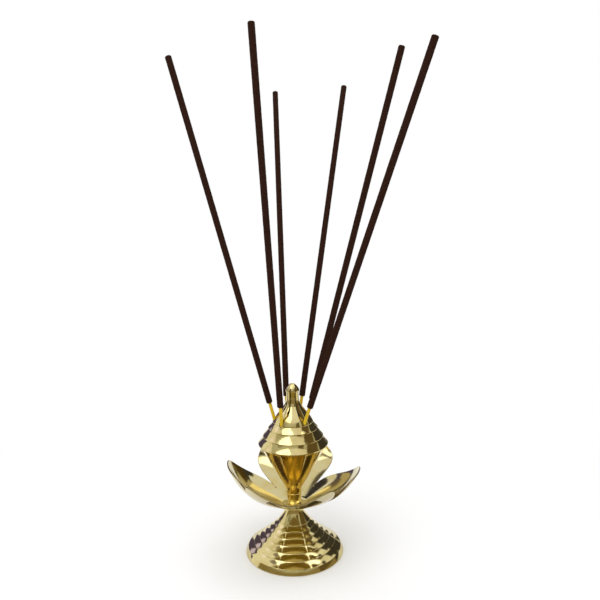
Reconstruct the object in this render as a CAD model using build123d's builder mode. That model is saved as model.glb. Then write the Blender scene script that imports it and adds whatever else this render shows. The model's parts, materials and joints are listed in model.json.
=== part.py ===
from build123d import *
import os
from math import comb, cos, degrees, hypot, pi, radians, sin

import numpy as np

# Brass incense stand: a hollow bell foot, a four-petal lotus dish, a collar and a funnel
# cup drawn together by one screw from below, and a lift-off lid that holds six sticks.
# Millimetres, +Z up, -Y is the front. The origin is on the axis, on the table top.

# Bell foot
foot_radius = 27.5
foot_rim_height = 2.8
foot_rim_slope = 1.6
foot_rim_wall = 2.2
foot_neck_radius = 4.7
foot_neck_start = 25.0
foot_height = 26.3
foot_flare_power = 1.4
foot_lip_count = 6
foot_lip_pitch = 2.53
foot_wall = 2.4
foot_web = 7.3

# Turned steps shared by the foot and the lid
step_undercut = 0.3
step_drop = 0.2
step_cove = 0.12

# Lotus dish, pressed from one sheet: flat at the screw, then a cone, then four petals
sheet = 0.8
dish_flat_radius = 5.0
dish_cone_radius = 8.0
dish_notch_radius = 16.1
dish_slope = 0.52
petal_bend_length = 19.5
petal_half_angle = 45
petal_slit = 0.5

# Each petal was cut and bent by hand: its axis, its reach from the middle of the dish and how
# square its clockwise and its anticlockwise sides are cut, then the lift of its tip, of both
# sides, the extra lift of the anticlockwise side and how softly it is folded along its middle
petals = [
    (-90, 38.7, 7.8, 3.6, 0.5, 8.7, 0.7, 0.35),
    (0, 36.3, 8.6, 1.5, 4.8, -16.4, -6.7, 1.0),
    (90, 38.4, 6.2, 4.2, 5.9, -11.9, 0.6, 1.0),
    (180, 35.9, 1.5, 8.1, 9.6, -4.8, 1.0, 1.0),
]

# Collar between dish and cup
collar_radius = 4.1
collar_waist = 0.35
collar_height = 6.6

# Funnel cup
cup_foot_radius = 3.8
cup_foot_height = 2.4
cup_height = 28.2
cup_mouth_radius = 18.2
cup_bulge = 0.4
cup_wall = 1.5
cup_socket_radius = 15.4
cup_socket_depth = 3.2
cup_throat = 6.0

# Lid, with its steps as radius and height above the seat, and its cone and neck as radius and
# height above the top step, stretched to reach the lid's height
lid_radius = 19.2
lid_edge = 0.7
lid_lips = [(16.6, 4.9), (13.6, 9.4), (11.15, 12.9)]
lid_neck_radius = 3.35
lid_cone = [(9.4, 2.8), (6.7, 6.3), (4.2, 9.9), (3.45, 13.1), (lid_neck_radius, 16.6)]
lid_height = 29.5
lid_wall = 2.3
lid_spigot_length = 2.8
lid_spigot_wall = 1.5
lid_seat_gap = 0.1
spigot_clearance = 0.12

# Finial button, held by its tenon
finial_radius = 3.75
finial_band = 0.7
finial_height = 4.4
finial_top_radius = 1.6
finial_bulge = 0.35
finial_round = 0.8
tenon_radius = 1.5
tenon_length = 5.0
tenon_clearance = 0.03

# Tie screw and its washer
screw_radius = 2.0
screw_head_radius = 3.8
screw_head_height = 2.6
screw_head_round = 0.9
screw_slot_width = 0.9
screw_slot_depth = 1.1
screw_grip = 6.0
screw_end_gap = 1.0
thread_clearance = 0.04
bore_clearance = 0.25
washer_radius = 4.4
washer_thickness = 0.8
well_clearance = 0.6

# Incense sticks: a bamboo core in a sleeve of paste
stick_circle_radius = 10.3
stick_hole_height = 14.9
stick_hole_clearance = 0.35
core_radius = 0.9
core_inserted = 27.0
core_bare = 8.6
paste_radius = 1.7
paste_length = 189.4
paste_cap = 2.0
paste_bond = 0.02
paste_round = 0.5
stick_rest_gap = 0.35

# Each stick: its hole's place round the lid, its lean from upright and the way it leans,
# in degrees from the front, positive to the right
sticks = [
    (-86.5, 15.0, -95.0),
    (-35.5, 7.5, -22.1),
    (-160.0, 19.0, -175.0),
    (158.0, 18.2, 151.4),
    (124.9, 14.7, 73.6),
    (40.0, 20.5, 57.2),
]

# Levels along the axis, from the table up
dish_under = foot_height
dish_top = dish_under + sheet
cup_under = dish_top + collar_height
cup_rim = cup_under + cup_height
lid_seat = cup_rim + lid_seat_gap
lid_top = lid_seat + lid_height
web_under = foot_height - foot_web
washer_under = web_under - washer_thickness
head_under = washer_under - screw_head_height

# Radii that follow from a fit
bore_radius = screw_radius + bore_clearance
tapped_radius = screw_radius + thread_clearance
well_radius = washer_radius + well_clearance
spigot_radius = cup_socket_radius - spigot_clearance
spigot_bore = spigot_radius - lid_spigot_wall
stick_hole_radius = core_radius + stick_hole_clearance

os.makedirs("parts", exist_ok=True)


def finish(piece, name):
    """Name a finished piece and write it."""
    piece.part.label = name
    export_step(piece.part, f"parts/{name}.step")


def steps(start, lips):
    """Draw turned steps upward from start: a cove to the underside of each lip, then its edge."""
    here = start
    for radius, level in lips:
        under = (radius - step_undercut, level - step_drop)
        SagittaArc(here, under, step_cove)
        Line(under, (radius, level))
        here = (radius, level)


def foot_flare(level):
    """Radius of the bell at a level above the table."""
    share = (level - foot_rim_height) / (foot_neck_start - foot_rim_height)
    rim_top = foot_radius - foot_rim_slope
    return foot_neck_radius + (rim_top - foot_neck_radius) * (1 - share) ** foot_flare_power


foot_levels = [foot_rim_height + foot_lip_pitch * (i + 1) for i in range(foot_lip_count)]
foot_lips = [(foot_flare(level), level) for level in foot_levels]
neck_middle = (foot_levels[-1] + foot_neck_start) / 2

with BuildPart() as base:
    with BuildSketch(Plane.XZ):
        with BuildLine():
            rim_top = (foot_radius - foot_rim_slope, foot_rim_height)
            neck_low = (foot_neck_radius, foot_neck_start)
            neck_top = (foot_neck_radius, foot_height)
            Polyline((0, 0), (foot_radius, 0), rim_top)
            steps(rim_top, foot_lips)
            Spline(foot_lips[-1], (foot_flare(neck_middle), neck_middle), neck_low)
            Polyline(neck_low, neck_top, (0, foot_height), (0, 0))
        make_face()
    revolve(axis=Axis.Z)
    # the hollow follows the bell at an even wall, up to the well round the screw's head
    bell = [(radius - foot_wall, level) for radius, level in foot_lips if level < head_under]
    bell = [point for point in bell if point[0] > well_radius]
    with BuildSketch(Plane.XZ):
        with BuildLine():
            Polyline(
                (0, 0),
                (foot_radius - foot_rim_wall, 0),
                *bell,
                (well_radius, head_under),
                (well_radius, web_under),
                (0, web_under),
                close=True,
            )
        make_face()
    revolve(axis=Axis.Z, mode=Mode.SUBTRACT)
    with Locations((0, 0, foot_height)):
        Hole(bore_radius, depth=foot_height)
finish(base, "base")

with BuildPart() as washer:
    with BuildSketch(Plane.XY.offset(washer_under)):
        Circle(washer_radius)
        Circle(bore_radius, mode=Mode.SUBTRACT)
    extrude(amount=washer_thickness)
finish(washer, "washer")

with BuildPart() as tie_screw:
    with BuildSketch(Plane.XY.offset(head_under)):
        Circle(screw_head_radius)
    extrude(amount=screw_head_height)
    fillet(tie_screw.faces().sort_by(Axis.Z)[0].edges(), screw_head_round)
    with BuildSketch(Plane.XY.offset(head_under)):
        Rectangle(2 * screw_head_radius, screw_slot_width)
    extrude(amount=screw_slot_depth, mode=Mode.SUBTRACT)
    with BuildSketch(Plane.XY.offset(washer_under)):
        Circle(screw_radius)
    extrude(amount=cup_under + screw_grip - washer_under)
finish(tie_screw, "tie_screw")


def sheet_level(radius, turn, bend):
    """Level of the sheet's underside; turn runs from -1 to 1 across a petal."""
    tip, sides, skew, fold = bend
    ramp = dish_cone_radius - dish_flat_radius
    knee = min(max(0.0, radius - dish_flat_radius), ramp)
    cone = max(0.0, radius - dish_cone_radius)
    bent = max(0.0, radius - dish_notch_radius) / petal_bend_length
    lift = tip + sides * (hypot(turn, fold) - fold) + skew * turn
    return dish_under + dish_slope * (knee**2 / ramp / 2 + cone) + lift * bent**4


def bernstein(degree, nodes):
    """Weights of a Bezier curve's control points at the nodes."""
    orders = range(degree + 1)
    return np.array([[comb(degree, i) * u**i * (1 - u) ** (degree - i) for i in orders] for u in nodes])


def sheet_quarter(inner, outer, axis, bend):
    """A quarter of the sheet between two radii: one Bezier face, extruded to the sheet's gauge."""
    along = np.linspace(0, 1, 5)
    across = (1 - np.cos(np.linspace(0, pi, 11))) / 2
    rows, columns = len(along), len(across)
    grid = np.zeros((rows, columns, 3))
    for i, u in enumerate(along):
        radius = inner + (outer - inner) * u
        for j, v in enumerate(across):
            turn = 2 * v - 1
            angle = radians(axis + petal_half_angle * turn)
            grid[i, j] = radius * cos(angle), radius * sin(angle), sheet_level(radius, turn, bend)
    net = np.linalg.solve(bernstein(rows - 1, along), grid.reshape(rows, -1)).reshape(grid.shape)
    net = np.linalg.solve(bernstein(columns - 1, across), net.swapaxes(0, 1).reshape(columns, -1))
    poles = [[Vector(*point) for point in row] for row in net.reshape(columns, rows, 3)]
    return Solid.extrude(Face.make_bezier_surface(poles), Vector(0, 0, sheet))


def petal_rim(reach, clockwise, anticlockwise):
    """Rim of a petal in plan, from notch to notch: out to its reach, with more or less square sides."""
    half = petal_half_angle - degrees(petal_slit / 2 / dish_notch_radius)
    points = []
    for way in np.linspace(-pi / 2, pi / 2, 25):
        square = clockwise if way < 0 else anticlockwise
        size = (abs(sin(way)) ** square + abs(cos(way)) ** square) ** (-1 / square)
        radius = dish_notch_radius + (reach - dish_notch_radius) * size * cos(way)
        angle = radians(half * size * sin(way))
        points.append((radius * cos(angle), radius * sin(angle)))
    return points


def petal(axis, reach, clockwise, anticlockwise, *bend):
    """One petal outside the notches, cut from its bent quarter of the sheet along its rim."""
    rim = petal_rim(reach, clockwise, anticlockwise)
    with BuildPart() as lobe:
        add(sheet_quarter(dish_notch_radius, reach + sheet, axis, bend))
        with BuildSketch(Plane.XY.rotated((0, 0, axis))):
            with BuildLine():
                Spline(*rim)
                Polyline(rim[-1], (0, 0), rim[0])
            make_face()
        extrude(amount=lid_top, mode=Mode.INTERSECT)
    return lobe.part


lobes = [petal(*shape) for shape in petals]
rings = [bore_radius / 2, dish_flat_radius, dish_cone_radius, dish_notch_radius]
with BuildPart() as lotus_plate:
    for axis, _, _, _, *bend in petals:
        for inner, outer in zip(rings, rings[1:]):
            add(sheet_quarter(inner, outer, axis, bend))
    add(lobes)
    with Locations((0, 0, dish_top)):
        Hole(bore_radius, depth=2 * sheet)
finish(lotus_plate, "lotus_plate")

with BuildPart() as collar:
    with BuildSketch(Plane.XZ):
        with BuildLine():
            Line((bore_radius, dish_top), (collar_radius, dish_top))
            SagittaArc((collar_radius, dish_top), (collar_radius, cup_under), collar_waist)
            Polyline((collar_radius, cup_under), (bore_radius, cup_under), (bore_radius, dish_top))
        make_face()
    revolve(axis=Axis.Z)
finish(collar, "collar")


def lean(angle):
    """Unit direction in plan of an angle measured from the front, positive to the right."""
    return Vector(sin(radians(angle)), -cos(radians(angle)))


def stick_plane(place, tilt, way):
    """Plane across a stick where it passes its hole, facing up along the stick."""
    up = lean(way) * sin(radians(tilt)) + Vector(0, 0, cos(radians(tilt)))
    return Plane(lean(place) * stick_circle_radius + Vector(0, 0, lid_seat + stick_hole_height), z_dir=up)


planes = [stick_plane(*stick) for stick in sticks]
lowest_end = min((plane.origin - plane.z_dir * core_inserted).Z for plane in planes)
cup_floor = lowest_end - core_radius * sin(radians(min(tilt for _, tilt, _ in sticks))) - stick_rest_gap


def cup_bore(level):
    """Inside radius of the funnel at a level above the table."""
    share = (level - cup_under - cup_foot_height) / (cup_height - cup_foot_height)
    return cup_foot_radius + (cup_mouth_radius - cup_foot_radius) * share - cup_wall


with BuildPart() as cup:
    with BuildSketch(Plane.XZ):
        with BuildLine():
            waist = (cup_foot_radius, cup_under + cup_foot_height)
            socket_floor = cup_rim - cup_socket_depth
            Polyline((0, cup_floor), (0, cup_under), (cup_foot_radius, cup_under), waist)
            SagittaArc(waist, (cup_mouth_radius, cup_rim), -cup_bulge)
            Polyline(
                (cup_mouth_radius, cup_rim),
                (cup_socket_radius, cup_rim),
                (cup_socket_radius, socket_floor),
                (cup_bore(socket_floor), socket_floor),
                (cup_bore(cup_floor), cup_floor),
                (0, cup_floor),
            )
        make_face()
    revolve(axis=Axis.Z)
    fillet(cup.edges().filter_by_position(Axis.Z, waist[1] - sheet, waist[1] + sheet), cup_throat)
    with BuildSketch(Plane.XY.offset(cup_under)):
        Circle(tapped_radius)
    extrude(amount=screw_grip + screw_end_gap, mode=Mode.SUBTRACT)
finish(cup, "cup")

lips = [(radius, lid_seat + height) for radius, height in lid_lips]
cone_stretch = (lid_top - lips[-1][1]) / lid_cone[-1][1]
cone = [(radius, lips[-1][1] + height * cone_stretch) for radius, height in lid_cone]

with BuildPart() as lid:
    with BuildSketch(Plane.XZ):
        with BuildLine():
            edge_top = (lid_radius, lid_seat + lid_edge)
            spigot_end = lid_seat - lid_spigot_length
            Polyline(
                (0, spigot_end),
                (spigot_radius, spigot_end),
                (spigot_radius, lid_seat),
                (lid_radius, lid_seat),
                edge_top,
            )
            steps(edge_top, lips)
            Spline(lips[-1], *cone)
            Polyline(cone[-1], (0, lid_top), (0, spigot_end))
        make_face()
    revolve(axis=Axis.Z)
    # the hollow keeps an even wall under the steps and ends below the solid neck
    inside = [(radius - lid_wall, level) for radius, level in lips[1:] + cone[:2]]
    with BuildSketch(Plane.XZ):
        with BuildLine():
            Polyline(
                (0, spigot_end),
                (spigot_bore, spigot_end),
                (spigot_bore, lips[0][1]),
                *inside,
                (0, inside[-1][1]),
                close=True,
            )
        make_face()
    revolve(axis=Axis.Z, mode=Mode.SUBTRACT)
    with Locations((0, 0, lid_top)):
        Hole(tenon_radius + tenon_clearance, depth=tenon_length + tenon_clearance)
    for plane in planes:
        with BuildSketch(plane):
            Circle(stick_hole_radius)
        extrude(amount=3 * lid_wall, both=True, mode=Mode.SUBTRACT)
finish(lid, "lid")

with BuildPart() as finial:
    with BuildSketch(Plane.XZ):
        with BuildLine():
            button_edge = (finial_radius, lid_top + finial_band)
            button_top = (finial_top_radius, lid_top + finial_height)
            Polyline(
                (0, lid_top - tenon_length),
                (tenon_radius, lid_top - tenon_length),
                (tenon_radius, lid_top),
                (finial_radius, lid_top),
                button_edge,
            )
            SagittaArc(button_edge, button_top, -finial_bulge)
            Polyline(button_top, (0, lid_top + finial_height), (0, lid_top - tenon_length))
        make_face()
    revolve(axis=Axis.Z)
    fillet(finial.faces().sort_by(Axis.Z)[-1].edges(), finial_round)
finish(finial, "finial")

for number, plane in enumerate(planes, start=1):
    with BuildPart() as core:
        with BuildSketch(plane.offset(-core_inserted)):
            Circle(core_radius)
        extrude(amount=core_inserted + core_bare + paste_length - paste_cap)
    finish(core, f"stick_{number}_core")

    with BuildPart() as paste:
        with BuildSketch(plane.offset(core_bare)):
            Circle(paste_radius)
        extrude(amount=paste_length)
        fillet(paste.edges().filter_by(GeomType.CIRCLE), paste_round)
        with BuildSketch(plane.offset(core_bare)):
            Circle(core_radius + paste_bond)
        extrude(amount=paste_length - paste_cap + paste_bond, mode=Mode.SUBTRACT)
    finish(paste, f"stick_{number}_paste")
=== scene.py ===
import json
import math

import bpy
import numpy as np
from mathutils import Matrix, Vector


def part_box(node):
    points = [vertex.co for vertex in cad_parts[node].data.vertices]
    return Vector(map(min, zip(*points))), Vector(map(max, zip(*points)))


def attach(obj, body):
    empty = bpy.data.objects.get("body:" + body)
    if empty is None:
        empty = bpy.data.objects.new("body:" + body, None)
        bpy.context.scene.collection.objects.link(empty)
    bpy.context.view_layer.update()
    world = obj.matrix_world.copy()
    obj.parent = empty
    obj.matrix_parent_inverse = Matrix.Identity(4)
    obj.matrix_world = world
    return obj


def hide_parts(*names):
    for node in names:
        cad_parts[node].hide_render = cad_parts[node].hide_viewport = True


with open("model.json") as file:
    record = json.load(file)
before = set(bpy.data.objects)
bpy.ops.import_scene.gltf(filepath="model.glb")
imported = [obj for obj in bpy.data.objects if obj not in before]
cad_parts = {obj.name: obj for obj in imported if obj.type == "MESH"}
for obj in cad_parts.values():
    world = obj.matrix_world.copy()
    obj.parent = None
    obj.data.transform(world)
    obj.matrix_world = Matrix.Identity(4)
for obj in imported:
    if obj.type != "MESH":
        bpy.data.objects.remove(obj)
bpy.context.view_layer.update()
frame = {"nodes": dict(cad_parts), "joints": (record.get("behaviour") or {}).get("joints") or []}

# The foot: a hollow bell of cast brass, turned to a plain rim and six sharp lips under a slim
# neck, then polished. It stands on its flat rim and the screw through its web holds the rest.
# Lengths are written in millimetres, up to the floor, and angles in degrees.
MM = 0.001
turning_facets = 192
turning_crease = 40
turning_pivot = 0.001
weld_gap = 0.01
pale_brass_colour = (0.70, 0.59, 0.28)
pale_brass_shade = (0.57, 0.45, 0.17)


def fill(tree, made, inputs):
    """Fill the inputs of a node in the tree with values or with links."""
    for key, value in inputs.items():
        if isinstance(value, bpy.types.NodeSocket):
            tree.links.new(value, made.inputs[key])
        else:
            made.inputs[key].default_value = value


def node(tree, kind, inputs=None, **settings):
    """Add a node with its settings and its inputs."""
    made = tree.nodes.new(kind)
    for key, value in settings.items():
        setattr(made, key, value)
    fill(tree, made, inputs or {})
    return made


def maths(tree, operation, a, b):
    """One arithmetic node's result."""
    return node(tree, "ShaderNodeMath", {0: a, 1: b}, operation=operation).outputs[0]


def noise(tree, inputs, dimensions="3D"):
    """A noise's value."""
    return node(tree, "ShaderNodeTexNoise", inputs, noise_dimensions=dimensions).outputs[0]


def mapped(tree, value, start, stop, low=0.0, high=1.0, **settings):
    """The value with start and stop brought to low and high."""
    inputs = {"Value": value, "From Min": start, "From Max": stop, "To Min": low, "To Max": high}
    return node(tree, "ShaderNodeMapRange", inputs, **settings).outputs[0]


def blended(tree, share, colour, other):
    """A mix of two colours."""
    inputs = {"Factor": share, "A": (*colour, 1.0), "B": (*other, 1.0)}
    return node(tree, "ShaderNodeMix", inputs, data_type="RGBA").outputs["Result"]


def surface(name):
    """A new material, its node tree and its shader."""
    material = bpy.data.materials.new(name)
    material.use_nodes = True
    return material, material.node_tree, material.node_tree.nodes["Principled BSDF"]


def brass(name, colour, shade, roughness, line_depth, dent_depth):
    """Polished brass: faint tarnish clouds, fine lathe lines along the profile, soft dents."""
    material, tree, shader = surface(name)
    place = node(tree, "ShaderNodeTexCoord").outputs["Object"]
    clouds = noise(tree, {"Vector": place, "Scale": 140.0, "Detail": 5.0, "Roughness": 0.6})
    tarnish = mapped(tree, clouds, start=0.42, stop=0.72)
    polish = mapped(tree, clouds, start=0.3, stop=0.75, low=0.75 * roughness, high=1.45 * roughness)
    along = node(tree, "ShaderNodeAttribute", attribute_name="along").outputs["Fac"]
    fine = noise(tree, {"W": along, "Scale": 3500.0, "Detail": 2.0}, "1D")
    broad = noise(tree, {"W": along, "Scale": 900.0, "Detail": 1.0}, "1D")
    dents = noise(tree, {"Vector": place, "Scale": 75.0, "Detail": 1.0})
    soft = node(tree, "ShaderNodeBump", {"Height": dents, "Distance": dent_depth * MM})
    ruled = node(tree, "ShaderNodeBump", {"Normal": soft.outputs["Normal"], "Distance": line_depth * MM})
    fill(tree, ruled, {"Height": maths(tree, "ADD", fine, broad)})
    fill(tree, shader, {"Base Color": blended(tree, tarnish, colour, shade), "Metallic": 1.0})
    fill(tree, shader, {"Roughness": polish, "Normal": ruled.outputs["Normal"]})
    return material


def arc(start, end, sag, count=8):
    """Points of a shallow arc after start up to end; a positive sag bows to the left of the way."""
    start, end = Vector(start), Vector(end)
    side = Vector((start.y - end.y, end.x - start.x)).normalized()
    shares = [(i + 1) / count for i in range(count)]
    return [tuple(start.lerp(end, t) + side * sag * 4 * t * (1 - t)) for t in shares]


def bend(first, corner, last, count):
    """Points of a round from first to last that leaves and arrives along the lines to the corner."""
    shares = np.linspace(0, 1, count)
    return [tuple(first.lerp(corner, t).lerp(corner.lerp(last, t), t)) for t in shares]


def eased(outline, ease, closed=False, least_turn=20, most_cut=0.45, count=5):
    """The outline with each corner of more than the least turn made into a small round."""
    points = [Vector(p) for p in outline]
    result = []
    for i, corner in enumerate(points):
        if not closed and i in (0, len(points) - 1):
            result.append(tuple(corner))
            continue
        back = points[i - 1] - corner
        ahead = points[(i + 1) % len(points)] - corner
        turn = math.pi - back.angle(ahead)
        if turn < math.radians(least_turn):
            result.append(tuple(corner))
            continue
        cut = min(ease * math.tan(turn / 2), most_cut * back.length, most_cut * ahead.length)
        first, last = corner + back.normalized() * cut, corner + ahead.normalized() * cut
        result += bend(first, corner, last, count)
    return result


def recipe(name, inputs, output):
    """A new geometry node tree with named inputs and an output, and the values it is given."""
    tree = bpy.data.node_groups.new(name, "GeometryNodeTree")
    for key, kind in inputs.items():
        tree.interface.new_socket(key, in_out="INPUT", socket_type="NodeSocket" + kind)
    tree.interface.new_socket(output, in_out="OUTPUT", socket_type="NodeSocketGeometry")
    return tree, node(tree, "NodeGroupInput").outputs


def complete(tree, shape, crease, finish, output):
    """End a tree: shade all but the creases smooth, make the piece real and give it its finish."""
    angle = node(tree, "GeometryNodeInputMeshEdgeAngle").outputs["Unsigned Angle"]
    limit = {"A": angle, "B": math.radians(crease)}
    gentle = node(tree, "FunctionNodeCompare", limit, operation="LESS_THAN").outputs["Result"]
    smooth = node(tree, "GeometryNodeSetShadeSmooth", {"Geometry": shape})
    ruled = node(tree, "GeometryNodeSetShadeSmooth", {"Geometry": smooth.outputs[0]}, domain="EDGE")
    fill(tree, ruled, {"Shade Smooth": gentle})
    real = node(tree, "GeometryNodeRealizeInstances", {"Geometry": ruled.outputs[0]})
    finished = node(tree, "GeometryNodeSetMaterial", {"Geometry": real.outputs[0], "Material": finish})
    node(tree, "NodeGroupOutput", {output: finished.outputs[0]})


turning_inputs = {"Profile": "Geometry", "Facets": "Int", "Finish": "Material"}
turning, given = recipe("turned_piece", turning_inputs, "Turned piece")
length = node(turning, "GeometryNodeSplineParameter").outputs["Length"]
marked = node(turning, "GeometryNodeStoreNamedAttribute", {"Geometry": given["Profile"], "Value": length})
fill(turning, marked, {"Name": "along"})
circle = node(turning, "GeometryNodeCurvePrimitiveCircle", {"Resolution": given["Facets"]})
fill(turning, circle, {"Radius": turning_pivot * MM})
upright = node(turning, "GeometryNodeSetCurveNormal", {"Curve": circle.outputs["Curve"]}, mode="Z_UP")
swept = node(turning, "GeometryNodeCurveToMesh", {"Curve": upright.outputs[0]})
fill(turning, swept, {"Profile Curve": marked.outputs[0]})
welded = node(turning, "GeometryNodeMergeByDistance", {"Geometry": swept.outputs[0]})
fill(turning, welded, {"Distance": weld_gap * MM})
complete(turning, welded.outputs[0], turning_crease, given["Finish"], "Turned piece")


def link(name, data):
    """A new object in the scene, at the origin."""
    made = bpy.data.objects.new(name, data)
    bpy.context.scene.collection.objects.link(made)
    return made


def plain(name, source):
    """The evaluated mesh of an object as a plain object of its own, in place of the source."""
    mesh = bpy.data.meshes.new_from_object(source.evaluated_get(bpy.context.evaluated_depsgraph_get()))
    bpy.data.objects.remove(source)
    mesh.name = name
    return link(name, mesh)


def shaped(name, points, tree, values, closed=False):
    """What a geometry node tree makes of a line through points, in metres."""
    curve = bpy.data.curves.new(name + "_line", "CURVE")
    curve.dimensions = "3D"
    spline = curve.splines.new("POLY")
    spline.points.add(len(points) - 1)
    for point, place in zip(spline.points, points):
        point.co = (*place, 1)
    spline.use_cyclic_u = closed
    source = link(name + "_line", curve)
    modifier = source.modifiers.new("recipe", "NODES")
    modifier.node_group = tree
    for key, value in values.items():
        modifier[tree.interface.items_tree[key].identifier] = value
    return plain(name, source)


def turned(name, outline, ease, finish, closed=False):
    """A lathe piece from an outline of radius and height in millimetres, its outside on the left."""
    points = [(radius * MM, -height * MM, 0) for radius, height in eased(outline, ease, closed)]
    return shaped(name, points, turning, {"Facets": turning_facets, "Finish": finish}, closed)


def steps_down(lips, end, undercut=0.3, drop=0.2, cove=0.12):
    """From the top lip down to end: under each sharp lip a hollow cove runs out to the next."""
    result = []
    for (radius, height), below in zip(lips, lips[1:] + [end]):
        under = (radius - undercut, height - drop)
        result += [(radius, height), under, *arc(under, below, -cove)[:-1]]
    return result + [end]


foot_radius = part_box("base")[1].x / MM
foot_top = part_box("base")[1].z / MM
washer_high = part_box("washer")[1].z / MM
screw_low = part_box("tie_screw")[0].z / MM
rim_slope = 1.6
rim_height = 2.8
rim_wall = 2.2
neck_radius = 4.7
neck_start = 25.0
neck_count = 16
bore = 2.25
lip_pitch = 2.53
lip_count = 6
foot_wall = 2.4
well = 5.0
flare_power = 1.4
foot_ease = 0.22


def flare(height):
    """Radius of the bell at a height above the table."""
    share = (height - rim_height) / (neck_start - rim_height)
    return neck_radius + (foot_radius - rim_slope - neck_radius) * (1 - share) ** flare_power


lip_heights = [rim_height + lip_pitch * (i + 1) for i in reversed(range(lip_count))]
foot_lips = [(flare(height), height) for height in lip_heights]
neck = [(flare(height), height) for height in np.linspace(neck_start, lip_heights[0], neck_count)[:-1]]
hollow = [(r - foot_wall, h) for r, h in reversed(foot_lips) if h < screw_low and r - foot_wall > well]
foot_outline = [
    (bore, foot_top),
    (neck_radius, foot_top),
    *neck,
    *steps_down(foot_lips, (foot_radius - rim_slope, rim_height)),
    (foot_radius, 0.0),
    (foot_radius - rim_wall, 0.0),
    *hollow,
    (well, screw_low),
    (well, washer_high),
    (bore, washer_high),
]
pale_brass = brass(
    "pale_brass", pale_brass_colour, pale_brass_shade, roughness=0.08, line_depth=0.006, dent_depth=0.03
)
foot = turned("foot", foot_outline, foot_ease, pale_brass, closed=True)
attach(foot, "stand")
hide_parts("base")

# The tie screw and its washer: plain zinc-plated steel, up inside the foot. The screw pulls
# foot, dish, collar and cup together and can only be seen from below.
steel, steel_tree, steel_shader = surface("steel")
steel_place = node(steel_tree, "ShaderNodeTexCoord").outputs["Object"]
steel_grain = noise(steel_tree, {"Vector": steel_place, "Scale": 900.0, "Detail": 3.0})
steel_dull = mapped(steel_tree, steel_grain, start=0.0, stop=1.0, low=0.28, high=0.46)
fill(steel_tree, steel_shader, {"Base Color": (0.50, 0.50, 0.48, 1.0), "Metallic": 1.0})
fill(steel_tree, steel_shader, {"Roughness": steel_dull})
for name in ("tie_screw", "washer"):
    piece = frame["nodes"][name]
    piece.data.materials.clear()
    piece.data.materials.append(steel)

# The lotus dish: one brass sheet, cut in from its edge at four notches, pressed to a shallow
# bowl and its four petals bent up by hand, each a little differently. Foot and collar clamp it.
sheet = 0.8
dish_flat = 5.0
dish_cone = 8.0
dish_notch = 16.1
dish_slope = 0.52
petal_bend = 19.5
petal_curl = 4
petal_half = 45.0
petal_slit = 0.8
slit_run = 1 / 6
rings_in = 24
rings_out = 30
across = 48
edge_round = 0.2
edge_segments = 3
edge_turn = 50
# Of each petal: its axis and reach, how square its rim is cut clockwise and anticlockwise of the
# axis, how far its tip and then its sides are bent up, its skew, and how round its fold is.
petal_shapes = [
    (-90, 38.7, 7.8, 3.6, 0.5, 8.7, 0.7, 0.35),
    (0, 36.3, 8.6, 1.5, 4.8, -16.4, -6.7, 1.0),
    (90, 38.4, 6.2, 4.2, 5.9, -11.9, 0.6, 1.0),
    (180, 35.9, 1.5, 8.1, 9.6, -4.8, 1.0, 1.0),
]


def petal_share(side, ring, square):
    """Turn across a petal and share of its reach, from a place in a plain grid over it."""
    way = math.atan2(side, ring)
    size = (abs(math.sin(way)) ** square + abs(math.cos(way)) ** square) ** (-1 / square)
    size *= max(abs(side), ring)
    return size * math.sin(way), abs(size * math.cos(way))


dish_points, dish_faces = [], []
for axis, reach, clockwise, anticlockwise, tip, sides, skew, fold in petal_shapes:
    first = len(dish_points)
    for ring in range(rings_in + rings_out + 1):
        for side in np.linspace(-1, 1, across + 1):
            square = clockwise if side < 0 else anticlockwise
            turn, out = petal_share(side, max(0, ring - rings_in) / rings_out, square)
            radius = bore + (dish_notch - bore) * min(1.0, ring / rings_in)
            radius += (reach - dish_notch) * out
            ramp = dish_cone - dish_flat
            knee = min(max(0.0, radius - dish_flat), ramp)
            bent = max(0.0, radius - dish_notch) / petal_bend
            height = foot_top + sheet + dish_slope * (knee**2 / ramp / 2 + max(0.0, radius - dish_cone))
            height += (tip + sides * (math.hypot(turn, fold) - fold) + skew * turn) * bent**petal_curl
            way = math.radians(axis + turn * (petal_half - petal_slit * min(1.0, out / slit_run)))
            dish_points.append((radius * math.cos(way) * MM, radius * math.sin(way) * MM, height * MM))
    for ring in range(rings_in + rings_out):
        for i in range(across):
            a = first + ring * (across + 1) + i
            dish_faces.append((a, a + across + 1, a + across + 2, a + 1))
dish_mesh = bpy.data.meshes.new("dish_sheet")
dish_mesh.from_pydata(dish_points, [], dish_faces)
dish_mesh.shade_smooth()
dish_mesh.materials.append(brass(
    "sheet_brass", (0.61, 0.53, 0.28), pale_brass_shade, roughness=0.09, line_depth=0.0, dent_depth=0.06
))
# The sheet's rim gets a rougher brass painted much darker: painted shade for the dark line along the
# petals' edges.
dish_mesh.materials.append(brass(
    "rim_brass_painted_shade", (0.26, 0.20, 0.08), (0.16, 0.12, 0.05), roughness=0.35, line_depth=0.0, dent_depth=0.0
))
dish_source = link("dish_sheet", dish_mesh)
weld = dish_source.modifiers.new("weld", "WELD")
weld.merge_threshold = weld_gap * MM
gauge = dish_source.modifiers.new("gauge", "SOLIDIFY")
gauge.thickness = sheet * MM
gauge.offset = -1
gauge.material_offset_rim = 1
edge = dish_source.modifiers.new("edge", "BEVEL")
edge.width = edge_round * MM
edge.segments = edge_segments
edge.limit_method = "ANGLE"
edge.angle_limit = math.radians(edge_turn)
edge.harden_normals = True
dish = plain("dish", dish_source)
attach(dish, "stand")
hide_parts("lotus_plate")

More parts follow.
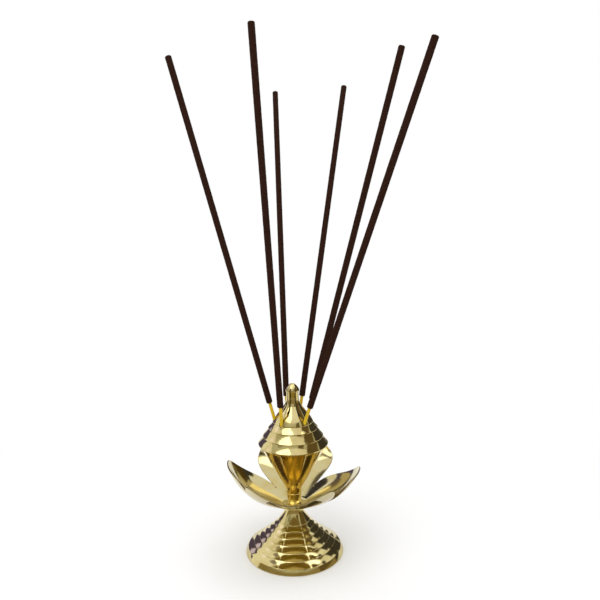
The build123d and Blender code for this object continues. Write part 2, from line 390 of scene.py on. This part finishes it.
# The collar: a small waisted spool of deeper gold brass, turned from bar and bored for the
# screw. It spaces the cup off the dish.
gold_brass = brass(
    "gold_brass", (0.87, 0.72, 0.32), (0.79, 0.63, 0.25), roughness=0.07, line_depth=0.006, dent_depth=0.0
)
collar_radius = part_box("collar")[1].x / MM
collar_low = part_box("collar")[0].z / MM
collar_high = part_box("collar")[1].z / MM
collar_waist = 0.35
collar_count = 14
collar_ease = 0.3
collar_outline = [
    (bore, collar_high),
    (collar_radius, collar_high),
    *arc((collar_radius, collar_high), (collar_radius, collar_low), -collar_waist, collar_count),
    (bore, collar_low),
]
collar = turned("collar", collar_outline, collar_ease, gold_brass, closed=True)
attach(collar, "stand")
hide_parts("collar")

# The cup: a funnel of the same deeper gold brass, turned inside and out, with a solid foot
# tapped for the screw and a socket in its mouth that the lid's spigot drops into.
cup_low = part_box("cup")[0].z / MM
cup_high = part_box("cup")[1].z / MM
cup_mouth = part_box("cup")[1].x / MM
cup_foot = 3.8
cup_waist = 2.4
cup_wall = 1.5
cup_bulge = 0.4
cup_ease = 0.3
throat_above = 3.2
throat_low = 0.4
throat_count = 14
funnel_count = 30
socket_radius = 15.4
socket_depth = 3.2
tapped = 2.04
tapped_depth = 7.0
stick_count, stick_gap = 6, 0.35
stick_ends = [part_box(f"stick_{i + 1}_core")[0].z / MM for i in range(stick_count)]
cup_floor = min(stick_ends) - stick_gap


def cup_inside(height):
    """Inside radius of the funnel at a height above the table."""
    share = (height - cup_low - cup_waist) / (cup_high - cup_low - cup_waist)
    return cup_foot + (cup_mouth - cup_foot) * share - cup_wall


cup_lip, cup_corner = (cup_mouth, cup_high), (cup_foot, cup_low + cup_waist)
funnel = [cup_lip, *arc(cup_lip, cup_corner, cup_bulge, funnel_count)]
throat_top = next(i for i, (r, h) in enumerate(funnel) if h < cup_low + cup_waist + throat_above)
throat_end = Vector((cup_foot, cup_low + throat_low))
cup_outline = [
    (0.0, cup_floor),
    (cup_inside(cup_floor), cup_floor),
    (cup_inside(cup_high - socket_depth), cup_high - socket_depth),
    (socket_radius, cup_high - socket_depth),
    (socket_radius, cup_high),
    *funnel[:throat_top],
    *bend(Vector(funnel[throat_top]), Vector(cup_corner), throat_end, throat_count),
    (cup_foot, cup_low),
    (tapped, cup_low),
    (tapped, cup_low + tapped_depth),
    (0.0, cup_low + tapped_depth),
]
cup = turned("cup", cup_outline, cup_ease, gold_brass)
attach(cup, "stand")
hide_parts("cup")

# The lid: a hollow dome of the pale brass in three sharp steps, drawn up into a tall slim neck.
# Its spigot sits loose in the cup and six holes drilled in its shoulder take the sticks.
lid_gap = 0.1
lid_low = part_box("lid")[0].z / MM
lid_seat = cup_high + lid_gap
lid_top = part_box("lid")[1].z / MM
lid_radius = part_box("lid")[1].x / MM
lid_edge = 0.7
lid_wall = 2.3
lid_neck = 3.35
lid_ease = 0.2
spigot = 15.28
spigot_bore = 13.78
tenon_hole = 1.53
tenon_hole_depth = 5.03
cone_count = 9
stick_hole = 1.25
stick_inside = 27
core_radius = 0.9
drill_facets, drill_levels = 32, (-6.5, 5.0)
lid_lips = [(11.15, 12.9), (13.6, 9.4), (16.6, 4.9)]
lid_lips = [(radius, lid_seat + height) for radius, height in lid_lips]
lid_cone = [(3.45, 26.0), (4.2, 22.8), (6.7, 19.2), (9.4, 15.7)]
lid_cone = [(radius, lid_seat + height) for radius, height in lid_cone]


def flowing(knots, count):
    """A smooth curve through the knots, from the first to the last."""
    knots = [Vector(k) for k in knots]
    ends = [2 * knots[0] - knots[1], *knots, 2 * knots[-1] - knots[-2]]
    result = []
    for a, b, c, d in zip(ends, ends[1:], ends[2:], ends[3:]):
        for t in np.linspace(0, 1, count, endpoint=False):
            curved = (2 * a - 5 * b + 4 * c - d) * t**2 + (3 * b - 3 * c + d - a) * t**3
            result.append(tuple((2 * b + (c - a) * t + curved) / 2))
    return result + [tuple(knots[-1])]


lid_outline = [
    (0.0, lid_top - tenon_hole_depth),
    (tenon_hole, lid_top - tenon_hole_depth),
    (tenon_hole, lid_top),
    *flowing([(lid_neck, lid_top), *lid_cone, lid_lips[0]], cone_count)[:-1],
    *steps_down(lid_lips, (lid_radius, lid_seat + lid_edge)),
    (lid_radius, lid_seat),
    (spigot, lid_seat),
    (spigot, lid_low),
    (spigot_bore, lid_low),
    (spigot_bore, lid_lips[2][1]),
    *[(r - lid_wall, h) for r, h in [lid_lips[1], lid_lips[0], lid_cone[3], lid_cone[2]]],
    (0.0, lid_cone[2][1]),
]
lid_source = turned("lid_turned", lid_outline, lid_ease, pale_brass)
stick_axes = {joint["child"]: Vector(joint["axis"]) for joint in frame["joints"] if joint["child"] != "lid"}
stick_paths = {}
drill_points, drill_faces = [], []
for body, way in stick_axes.items():
    low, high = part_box(body + "_core")
    # The box of a leaning core is taller than its axis by the tilt of its two ends.
    tall = (high.z - low.z) / MM - 2 * core_radius * math.sqrt(1 - way.z**2)
    reach = way * tall / way.z / 2
    stick_paths[body] = ((low + high) / 2 / MM - reach, (low + high) / 2 / MM + reach)
    shoulder = stick_paths[body][0] + way * stick_inside
    turn = way.to_track_quat("Z", "Y").to_matrix()
    start = len(drill_points)
    for level in drill_levels:
        for i in range(drill_facets):
            swing = i * math.tau / drill_facets
            side = turn @ (Vector((math.cos(swing), math.sin(swing), 0)) * stick_hole)
            drill_points.append((shoulder + way * level + side) * MM)
    lower = [start + i for i in range(drill_facets)]
    upper = [i + drill_facets for i in lower]
    drill_faces += list(zip(lower, lower[1:] + lower[:1], upper[1:] + upper[:1], upper))
    drill_faces += [tuple(reversed(lower)), tuple(upper)]
drill_mesh = bpy.data.meshes.new("stick_drill")
drill_mesh.from_pydata(drill_points, [], drill_faces)
drill_mesh.materials.append(pale_brass)
drill = link("stick_drill", drill_mesh)
drilled = lid_source.modifiers.new("holes", "BOOLEAN")
drilled.object = drill
drilled.operation = "DIFFERENCE"
drilled.solver = "EXACT"
lid = plain("lid_dome", lid_source)
bpy.data.objects.remove(drill)
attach(lid, "lid")
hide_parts("lid")

# The finial: a button of the pale brass with a plain band and a rounded crown, turned from bar.
# Its tenon is pressed into the hole in the top of the lid's neck.
finial_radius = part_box("finial")[1].x / MM
finial_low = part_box("finial")[0].z / MM
finial_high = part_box("finial")[1].z / MM
finial_band = 0.7
finial_bulge = 0.2
finial_ease = 0.3
tenon = 1.5
crown_count, bulge_count = 5, 6
finial_crown = [(0.7, 0.0), (1.5, 0.35), (2.1, 1.0)]
finial_crown = [(radius, finial_high - drop) for radius, drop in finial_crown]
finial_outline = [
    (0.0, finial_high),
    *flowing(finial_crown, crown_count)[:-1],
    *arc(finial_crown[-1], (finial_radius, lid_top + finial_band), finial_bulge, bulge_count),
    (finial_radius, lid_top),
    (tenon, lid_top),
    (tenon, finial_low),
    (0.0, finial_low),
]
finial = turned("finial_button", finial_outline, finial_ease, pale_brass)
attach(finial, "lid")
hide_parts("finial")

# The incense sticks: each a thin bamboo core, its bare end dyed yellow and pushed loose into
# the lid, and a sleeve of dark brown incense paste rolled onto it and dried, slightly grainy.
stick_bare = 35.6
stick_facets = 24
stick_crease = 50
end_taper = 0.3
core_rings, core_round = 90, 0.3
paste_rings = 620
paste_round = 0.6
paste_radius = 1.7
paste_past = 2.0
grain_height = 0.2
grain_size = 1.1
grain_mean = 0.5
rolled_inputs = {
    "Path": "Geometry",
    "Rings": "Int",
    "Radius": "Float",
    "Round": "Float",
    "Grain height": "Float",
    "Grain size": "Float",
    "Seed": "Float",
    "Finish": "Material",
}
rolled, given = recipe("rolled_stick", rolled_inputs, "Stick")
path = node(rolled, "GeometryNodeResampleCurve", {"Curve": given["Path"], "Count": given["Rings"]})
passed = node(rolled, "GeometryNodeSplineParameter").outputs["Length"]
whole = node(rolled, "GeometryNodeSplineLength").outputs["Length"]
from_end = maths(rolled, "MINIMUM", passed, maths(rolled, "SUBTRACT", whole, passed))
near = maths(rolled, "MINIMUM", maths(rolled, "DIVIDE", from_end, given["Round"]), 1.0)
inward = maths(rolled, "POWER", maths(rolled, "SUBTRACT", 1.0, near), 2.0)
dome = maths(rolled, "SUBTRACT", 1.0, maths(rolled, "MULTIPLY", inward, end_taper))
ring = node(rolled, "GeometryNodeCurvePrimitiveCircle", {"Resolution": stick_facets, "Radius": 1.0})
swept = node(rolled, "GeometryNodeCurveToMesh", {"Curve": path.outputs[0], "Fill Caps": True})
fill(rolled, swept, {"Profile Curve": ring.outputs["Curve"]})
fill(rolled, swept, {"Scale": maths(rolled, "MULTIPLY", given["Radius"], dome)})
spot = node(rolled, "GeometryNodeInputPosition").outputs[0]
fineness = maths(rolled, "DIVIDE", 1.0, given["Grain size"])
grain = noise(rolled, {"Vector": spot, "W": given["Seed"], "Scale": fineness, "Detail": 3.0}, "4D")
raised = maths(rolled, "MULTIPLY", maths(rolled, "SUBTRACT", grain, grain_mean), given["Grain height"])
outward = node(rolled, "GeometryNodeInputNormal").outputs[0]
push = node(rolled, "ShaderNodeVectorMath", {0: outward, "Scale": raised}, operation="SCALE")
grainy = node(rolled, "GeometryNodeSetPosition", {"Geometry": swept.outputs[0], "Offset": push.outputs[0]})
complete(rolled, grainy.outputs[0], stick_crease, given["Finish"], "Stick")


def matt(name, colour, fleck, scale, stretch, roughness, gloss, bump):
    """A dull natural surface: two colours in a fine noise, and a bump that follows it."""
    material, tree, shader = surface(name)
    place = node(tree, "ShaderNodeTexCoord").outputs["Object"]
    squeezed = node(tree, "ShaderNodeVectorMath", {0: place, 1: (1, 1, stretch)}, operation="MULTIPLY")
    flecks = noise(tree, {"Vector": squeezed.outputs[0], "Scale": scale, "Detail": 4.0, "Roughness": 0.65})
    tint = blended(tree, mapped(tree, flecks, start=0.35, stop=0.7), colour, fleck)
    relief = node(tree, "ShaderNodeBump", {"Height": flecks, "Distance": bump * MM})
    fill(tree, shader, {"Base Color": tint, "Normal": relief.outputs["Normal"]})
    fill(tree, shader, {"Roughness": roughness, "Specular IOR Level": gloss})
    return material


paste_finish = matt(
    "incense_paste", (0.018, 0.0068, 0.0038), (0.038, 0.0150, 0.0085),
    scale=1400.0, stretch=1.0, roughness=0.8, gloss=0.04, bump=0.2,
)
bamboo_finish = matt(
    "bamboo", (0.74, 0.52, 0.015), (0.56, 0.34, 0.008),
    scale=900.0, stretch=0.12, roughness=0.5, gloss=0.3, bump=0.1,
)
for number, (body, (low, high)) in enumerate(stick_paths.items(), start=1):
    way = stick_axes[body]
    core_values = {
        "Rings": core_rings,
        "Radius": core_radius * MM,
        "Round": core_round * MM,
        "Grain height": 0.0,
        "Grain size": MM,
        "Seed": float(number),
        "Finish": bamboo_finish,
    }
    paste_values = {
        "Rings": paste_rings,
        "Radius": paste_radius * MM,
        "Round": paste_round * MM,
        "Grain height": grain_height * MM,
        "Grain size": grain_size * MM,
        "Seed": float(number),
        "Finish": paste_finish,
    }
    paste_ends = [(low + way * stick_bare) * MM, (high + way * paste_past) * MM]
    core = shaped(body + "_bamboo", [low * MM, high * MM], rolled, core_values)
    paste = shaped(body + "_sleeve", paste_ends, rolled, paste_values)
    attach(core, body)
    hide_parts(body + "_core")
    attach(paste, body)
    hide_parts(body + "_paste")

# The floor: a wide plain matt white sheet that keeps the soft shadow of the stand. Away from the
# stand it fades into the white surround, so that its edge never shows. From here on lengths are
# written in metres.
floor_radius = 3.0
floor_facets = 96
floor_drop = 0.0001
fade_start, fade_stop = 0.06, 0.28
floor_turns = [i * math.tau / floor_facets for i in range(floor_facets)]
floor_ring = [(floor_radius * math.cos(t), floor_radius * math.sin(t), 0) for t in floor_turns]
floor_mesh = bpy.data.meshes.new("floor")
floor_mesh.from_pydata(floor_ring, [], [tuple(range(floor_facets))])
floor = link("floor", floor_mesh)
floor.location.z = -floor_drop
white, white_tree, white_shader = surface("white_floor")
fill(white_tree, white_shader, {"Base Color": (0.9, 0.9, 0.9, 1.0), "Roughness": 0.9})
white_place = node(white_tree, "ShaderNodeTexCoord").outputs["Object"]
away = node(white_tree, "ShaderNodeVectorMath", {0: white_place}, operation="LENGTH").outputs["Value"]
fade = mapped(white_tree, away, fade_start, fade_stop, interpolation_type="SMOOTHSTEP")
glow = node(white_tree, "ShaderNodeEmission", {"Color": (1, 1, 1, 1), "Strength": 1.0})
faded = node(white_tree, "ShaderNodeMixShader", {0: fade, 1: white_shader.outputs[0], 2: glow.outputs[0]})
fill(white_tree, white_tree.nodes["Material Output"], {"Surface": faded.outputs[0]})
floor_mesh.materials.append(white)

# The surround: plain white, for the camera, for the brass and as light. Cards off camera stand
# in it for the darker things in a room, which polished brass has to reflect to look like brass.
# Two soft lamps from above add the highlights and the shadow.
world = bpy.data.worlds.new("surround")
bpy.context.scene.world = world
world.use_nodes = True
surround = world.node_tree.nodes["Background"]
fill(world.node_tree, surround, {"Color": (1, 1, 1, 1), "Strength": 1.0})
card_columns, card_rows = 13, 7
middle = Vector((0, 0, 0.05))


def towards(turn, height):
    """The way from the dish at a turn from the front, positive to the right, and a height in degrees."""
    turn, height = math.radians(turn), math.radians(height)
    return Vector((math.cos(height) * math.sin(turn), -math.cos(height) * math.cos(turn), math.sin(height)))


def hung(name, points, colour):
    """A card of columns and rows of points that glows a little and only shows in the brass."""
    corners = [i * card_rows + j for i in range(card_columns - 1) for j in range(card_rows - 1)]
    mesh = bpy.data.meshes.new(name)
    mesh.from_pydata(points, [], [(a, a + 1, a + card_rows + 1, a + card_rows) for a in corners])
    material, tree, _ = surface(name)
    shine = node(tree, "ShaderNodeEmission", {"Color": (*colour, 1.0), "Strength": 1.0})
    fill(tree, tree.nodes["Material Output"], {"Surface": shine.outputs[0]})
    mesh.materials.append(material)
    made = link(name, mesh)
    made.visible_camera = False
    made.visible_diffuse = False
    made.visible_shadow = False
    made.visible_transmission = False


def card(name, start, stop, low, high, radius, colour):
    """A curved card off camera, between two turns and two heights in degrees as seen from the dish."""
    turns, heights = np.linspace(start, stop, card_columns), np.linspace(low, high, card_rows)
    hung(name, [middle + towards(turn, height) * radius for turn in turns for height in heights], colour)


def floor_card(name, start, stop, near, far, height, colour):
    """A flat card lying just over the floor, between two turns and two distances from the foot."""
    turns, reaches = np.linspace(start, stop, card_columns), np.linspace(near, far, card_rows)
    above = Vector((0, 0, height))
    hung(name, [above + towards(turn, 0) * reach for turn in turns for reach in reaches], colour)


floor_card("front_floor", -70, 70, 0.09, 0.75, 0.002, (0.33, 0.25, 0.07))
card("front_low", -86, 104, -4, 22, 0.90, (0.33, 0.27, 0.15))
card("front_mid", -86, 104, 22, 45, 0.90, (0.60, 0.60, 0.52))
card("front_dim", -62, -40, 25, 38, 0.85, (0.32, 0.30, 0.24))
card("brown_near", 20, 43, 25, 44, 0.85, (0.15, 0.11, 0.05))
card("brown_far", 57, 100, 8, 52, 0.85, (0.15, 0.11, 0.05))
card("dark_left", -172, -125, -4, 29, 0.90, (0.10, 0.08, 0.17))
card("dark_left_low", -125, -112, -4, 14, 0.90, (0.10, 0.08, 0.15))
card("dark_left_high", -150, -137, 34, 57, 0.85, (0.05, 0.045, 0.06))
card("dim_left_high", -97, -75, 52, 63, 0.85, (0.32, 0.29, 0.30))
card("spot_left", -112, -96, 29, 41, 0.85, (1.25, 1.20, 1.55))
card("spot_violet", -141, -131, 17, 27, 0.85, (0.75, 0.70, 1.30))
card("dark_right", 104, 127, -4, 39, 0.90, (0.06, 0.055, 0.05))
card("dark_right_mid", 127, 139, -4, 34, 0.90, (0.06, 0.055, 0.05))
card("dark_right_low", 139, 152, -4, 25, 0.90, (0.06, 0.055, 0.05))
card("dark_right_high", 109, 121, 51, 56.5, 0.85, (0.05, 0.04, 0.03))
card("dark_behind", 152, 165, -6, 4, 0.45, (0.07, 0.06, 0.04))


def softbox(name, turn, height, size, power):
    """A square soft lamp a metre from the dish and turned to it, set by the same two angles."""
    data = bpy.data.lights.new(name, "AREA")
    data.size = size
    data.energy = power
    way = towards(turn, height)
    lamp = link(name, data)
    lamp.location = way + middle
    lamp.rotation_euler = way.to_track_quat("Z", "Y").to_euler()


softbox("key", turn=-43, height=57, size=0.62, power=1.9)
softbox("fill", turn=83, height=68, size=0.42, power=0.8)

# The camera: in front of the stand and above its lid, with a normal lens. It looks slightly down
# and has a small roll. The plain view transform shows colours as they are written.
camera_tilt, camera_roll = 7.649, -0.75
camera_data = bpy.data.cameras.new("camera")
camera_data.sensor_width = 36.0
camera_data.lens = 35.77
camera_data.clip_start = 0.01
camera = link("camera", camera_data)
camera.location = (0.00477, -0.3157, 0.1840)
tilt = Matrix.Rotation(math.radians(90 - camera_tilt), 4, "X")
roll = Matrix.Rotation(math.radians(camera_roll), 4, "Z")
camera.rotation_euler = (tilt @ roll).to_euler()
bpy.context.scene.camera = camera
bpy.context.scene.view_settings.view_transform = "Standard"
